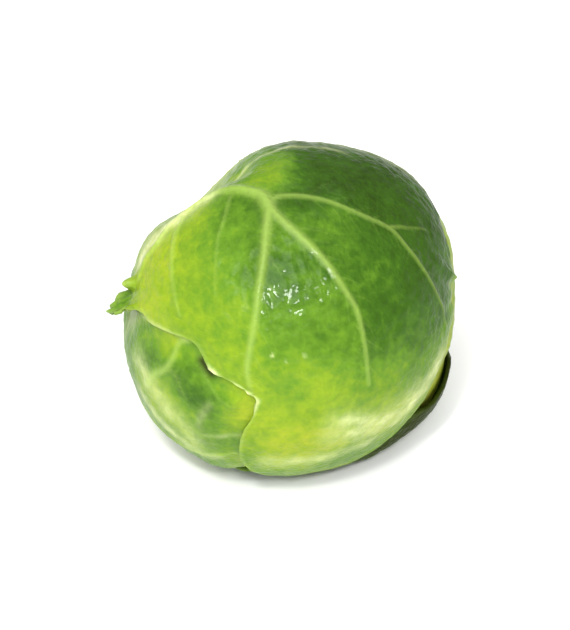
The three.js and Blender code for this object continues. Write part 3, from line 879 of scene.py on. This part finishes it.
def buildHeart():
    deselectAll()
    bpy.ops.mesh.primitive_uv_sphere_add(
        segments=heartShape["segments"], ring_count=heartShape["rings"], radius=1)
    heart = bpy.context.active_object
    heart.name = "heart_head"
    directions = readPoints(heart.data)
    directions /= np.linalg.norm(directions, axis=1)[:, None]
    depth = head["layer"] * sum(coverOf(leaf, directions) for leaf in leaves)
    steps = sum(1 - coverOf(leaf, directions) for leaf in heartLeaves)
    points = directions * head["radius"]
    radius = headHeight(directions) - depth - heartShape["fold"] * steps - heartShape["under"]
    radius = radius + heartShape["rough"] * lumps(points, heartShape["roughSize"], 5)
    place = headCentre + directions * radius[:, None]
    place[:, 2] = np.maximum(place[:, 2], depth)
    writePoints(heart.data, place * mm)
    net = 1 - fade(*leafShape["netLine"], cellDepth(points, heartShape["netSize"], 3))
    fields = {"hidden": 1.0, "net": net, "tone": heartShape["tone"]}
    for name in ("vein", "edge", "hidden", "net", "tone", "base", "bloomAndSheen", "shade"):
        setAttribute(heart.data, name, np.broadcast_to(fields.get(name, 0.0), len(directions)))
    bpy.ops.object.shade_smooth()
    heart.data.materials.append(leafMaterial("heart_wax", leafLook))
    return heart


print("heart")
heart = buildHeart()
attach(heart, "root")
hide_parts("heart")

# The cut stub of stalk: a slightly lobed rod with a slanting, dished and ringed cut.
stub = {
    "radius": 4.6,
    "root": 13.85,        # from the head's centre along the stem
    "end": 18.6,
    "sides": 128,
    "rimInset": 0.25,
    "ringInset": 0.29,
    "ringCount": 15,
    "lobes": [(5, 0.14, 0.6), (3, 0.08, 0), (31, 0.05, 0)],    # count, height, turn
    "waist": 0.04,        # narrowing at the root, as a share
    "waistLength": 5,
    "capDepth": 0.6,      # of the part that moves with the cut
    "rimRound": 0.22,
    "rimDrop": 0.25,
    "slant": 1.5,         # how much lower the cut is on its short side
    "slantShift": 0.4,
    "shortSide": (-0.35, -0.33, 0.88),
    "dish": 0.35,         # hollow in the middle of the cut
    "ringHeight": 0.05,
    "ringPitch": 5.2,     # radians of wave for each millimetre
    "fibre": 0.05,
    "fibreSize": 0.6,
}


def buildStub():
    deselectAll()
    along = Vector(stemAxis)
    turn = along.to_track_quat("Z", "Y")
    middle = Vector(headCentre) + along * (stub["root"] + stub["end"]) / 2
    bpy.ops.mesh.primitive_cylinder_add(
        vertices=stub["sides"], radius=stub["radius"] * mm, depth=(stub["end"] - stub["root"]) * mm,
        location=middle * mm, rotation=turn.to_euler())
    stem = bpy.context.active_object
    stem.name = "stem_stub"
    bpy.ops.object.transform_apply(location=True, rotation=True, scale=True)
    bpy.ops.object.mode_set(mode="EDIT")
    bpy.ops.mesh.select_all(action="DESELECT")
    bpy.ops.object.mode_set(mode="OBJECT")
    for face in stem.data.polygons:
        face.select = face.normal.dot(along) > 0.9
    bpy.ops.object.mode_set(mode="EDIT")
    bpy.ops.mesh.inset(thickness=stub["rimInset"] * mm)
    for step in range(stub["ringCount"]):
        bpy.ops.mesh.inset(thickness=stub["ringInset"] * mm)
    bpy.ops.mesh.select_all(action="DESELECT")
    bpy.ops.object.mode_set(mode="OBJECT")
    rings = stem.modifiers.new("rings", "SUBSURF")
    rings.subdivision_type = "SIMPLE"
    rings.levels = rings.render_levels = 2
    bpy.ops.object.modifier_apply(modifier=rings.name)
    points = readPoints(stem.data) / mm - headCentre
    height = points @ stemAxis
    out = points - height[:, None] * stemAxis
    radius = np.linalg.norm(out, axis=1)
    side = out / np.maximum(radius, 1e-6)[:, None]
    angle = np.arctan2(side @ headAxes[1], side @ headAxes[2])
    lobes = sum(rise * np.cos(count * angle + start) for count, rise, start in stub["lobes"])
    waist = stub["waist"] * fade(0.4, 0, (height - stub["root"]) / stub["waistLength"])
    rim = radius / stub["radius"]
    top = fade(stub["end"] - stub["capDepth"], stub["end"], height)
    newRadius = radius * (1 + lobes / stub["radius"] - waist)
    newRadius = newRadius - stub["rimRound"] * top * fade(0.96, 1, rim)
    slant = stub["slant"] * np.clip(out @ stub["shortSide"] / stub["radius"] + stub["slantShift"], 0, 2)
    ringed = stub["ringHeight"] * np.sin(radius * stub["ringPitch"])
    ringed = ringed + stub["fibre"] * lumps(points, stub["fibreSize"], 12)
    dish = stub["dish"] * fade(0.95, 0.2, rim)
    height = height + top * (ringed - slant - dish - stub["rimDrop"] * fade(0.97, 1.0, rim))
    points = side * newRadius[:, None] + height[:, None] * stemAxis
    writePoints(stem.data, (points + headCentre) * mm)
    setAttribute(stem.data, "ring", rim)
    setAttribute(stem.data, "cut", top)
    bpy.ops.object.shade_smooth()
    return stem


# Pale flesh with rings from the pith out to the dry rim, and green on the side of the stub.
stemLook = {
    "rings": [(0.0, (0.66, 0.70, 0.40)), (0.45, (0.72, 0.74, 0.46)), (0.68, (0.60, 0.66, 0.32)),
              (0.80, (0.76, 0.76, 0.52)), (0.96, (0.58, 0.60, 0.30)), (1.0, (0.40, 0.32, 0.14))],
    "side": (0.50, 0.62, 0.24),
    "grainScale": 900,
    "ringBlur": 0.12,
    "roughness": 0.62,
    "glow": 0.15, "glowRadius": (1.0, 0.9, 0.4), "glowDepth": 0.0008,
    "bump": 0.6, "bumpDepth": 0.0002,
}


def stemMaterial():
    material, nodes, links = newMaterial("stem_flesh")
    flesh = nodes["Principled BSDF"]
    ring = addNode(nodes, "ShaderNodeAttribute", attribute_name="ring")
    cut = addNode(nodes, "ShaderNodeAttribute", attribute_name="cut")
    place = addNode(nodes, "ShaderNodeTexCoord")
    grain = addNode(nodes, "ShaderNodeTexNoise")
    grain.inputs["Scale"].default_value = stemLook["grainScale"]
    grain.inputs["Detail"].default_value = 5
    links.new(place.outputs["Object"], grain.inputs["Vector"])
    spread = addNode(nodes, "ShaderNodeMath", operation="MULTIPLY_ADD")
    links.new(grain.outputs["Fac"], spread.inputs[0])
    spread.inputs[1].default_value = stemLook["ringBlur"]
    links.new(ring.outputs["Fac"], spread.inputs[2])
    mix = addNode(nodes, "ShaderNodeMix", data_type="RGBA")
    links.new(cut.outputs["Fac"], mix.inputs[0])
    mix.inputs[6].default_value = (*stemLook["side"], 1)
    links.new(rampOf(nodes, links, spread.outputs[0], stemLook["rings"]), mix.inputs[7])
    links.new(mix.outputs[2], flesh.inputs["Base Color"])
    flesh.inputs["Roughness"].default_value = stemLook["roughness"]
    flesh.inputs["Subsurface Weight"].default_value = stemLook["glow"]
    flesh.inputs["Subsurface Radius"].default_value = stemLook["glowRadius"]
    flesh.inputs["Subsurface Scale"].default_value = stemLook["glowDepth"]
    bump = addNode(nodes, "ShaderNodeBump")
    bump.inputs["Strength"].default_value = stemLook["bump"]
    bump.inputs["Distance"].default_value = stemLook["bumpDepth"]
    links.new(grain.outputs["Fac"], bump.inputs["Height"])
    links.new(bump.outputs["Normal"], flesh.inputs["Normal"])
    return material


print("stem")
stem = buildStub()
stem.data.materials.append(stemMaterial())
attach(stem, "root")
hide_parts("cut_stem")

# A white floor and an even sky. A big soft lamp stands at the upper left, three small ones make the
# sparkles, and a weak one lights the back. Lengths here are metres.
studio = {
    "floor": (0.93, 0.93, 0.93), "floorSize": 4, "floorDrop": 0.0002, "floorRoughness": 0.8,
    "sky": (1.0, 0.985, 0.94), "skyStrength": 0.5,
    "aim": (0, 0, 0.016),
    "elevation": 40, "distance": 0.75, "lens": 395,     # of the camera
    "lamps": [  # azimuth, elevation, distance, size, watts
        (-25, 58, 1.1, 0.9, 14.0),
        (-12, 52, 1.1, 0.10, 4.0),
        (6, 45, 1.1, 0.12, 4.5),
        (30, 48, 1.1, 0.07, 1.5),
        (150, 55, 1.1, 0.5, 0.9),
    ],
}


def around(azimuth, elevation, distance):
    a, e = math.radians(azimuth), math.radians(elevation)
    back = Vector((math.sin(a) * math.cos(e), -math.cos(a) * math.cos(e), math.sin(e)))
    return Vector(studio["aim"]) + back * distance, (-back).to_track_quat("-Z", "Y")


print("studio")
deselectAll()
bpy.ops.mesh.primitive_plane_add(size=studio["floorSize"], location=(0, 0, -studio["floorDrop"]))
floor = bpy.context.active_object
floor.name = "floor"
floorMaterial, floorNodes, _ = newMaterial("floor_white")
matt = floorNodes["Principled BSDF"]
matt.inputs["Base Color"].default_value = (*studio["floor"], 1)
matt.inputs["Roughness"].default_value = studio["floorRoughness"]
floor.data.materials.append(floorMaterial)

world = bpy.data.worlds.new("sky")
bpy.context.scene.world = world
world.use_nodes = True
sky = world.node_tree.nodes["Background"]
sky.inputs["Color"].default_value = (*studio["sky"], 1)
sky.inputs["Strength"].default_value = studio["skyStrength"]

for number, (azimuth, elevation, distance, size, watts) in enumerate(studio["lamps"]):
    lamp = bpy.data.lights.new(f"lamp{number}", "AREA")
    lamp.shape = "DISK"
    lamp.size = size
    lamp.energy = watts
    holder = bpy.data.objects.new(f"lamp{number}", lamp)
    holder.location, turn = around(azimuth, elevation, distance)
    holder.rotation_euler = turn.to_euler()
    bpy.context.scene.collection.objects.link(holder)

camera = bpy.data.cameras.new("camera")
camera.lens = studio["lens"]
camera.clip_start, camera.clip_end = 0.01, 20
viewer = bpy.data.objects.new("camera", camera)
viewer.location, turn = around(0, studio["elevation"], studio["distance"])
viewer.rotation_euler = turn.to_euler()
bpy.context.scene.collection.objects.link(viewer)
bpy.context.scene.camera = viewer
bpy.context.scene.view_settings.view_transform = "Standard"
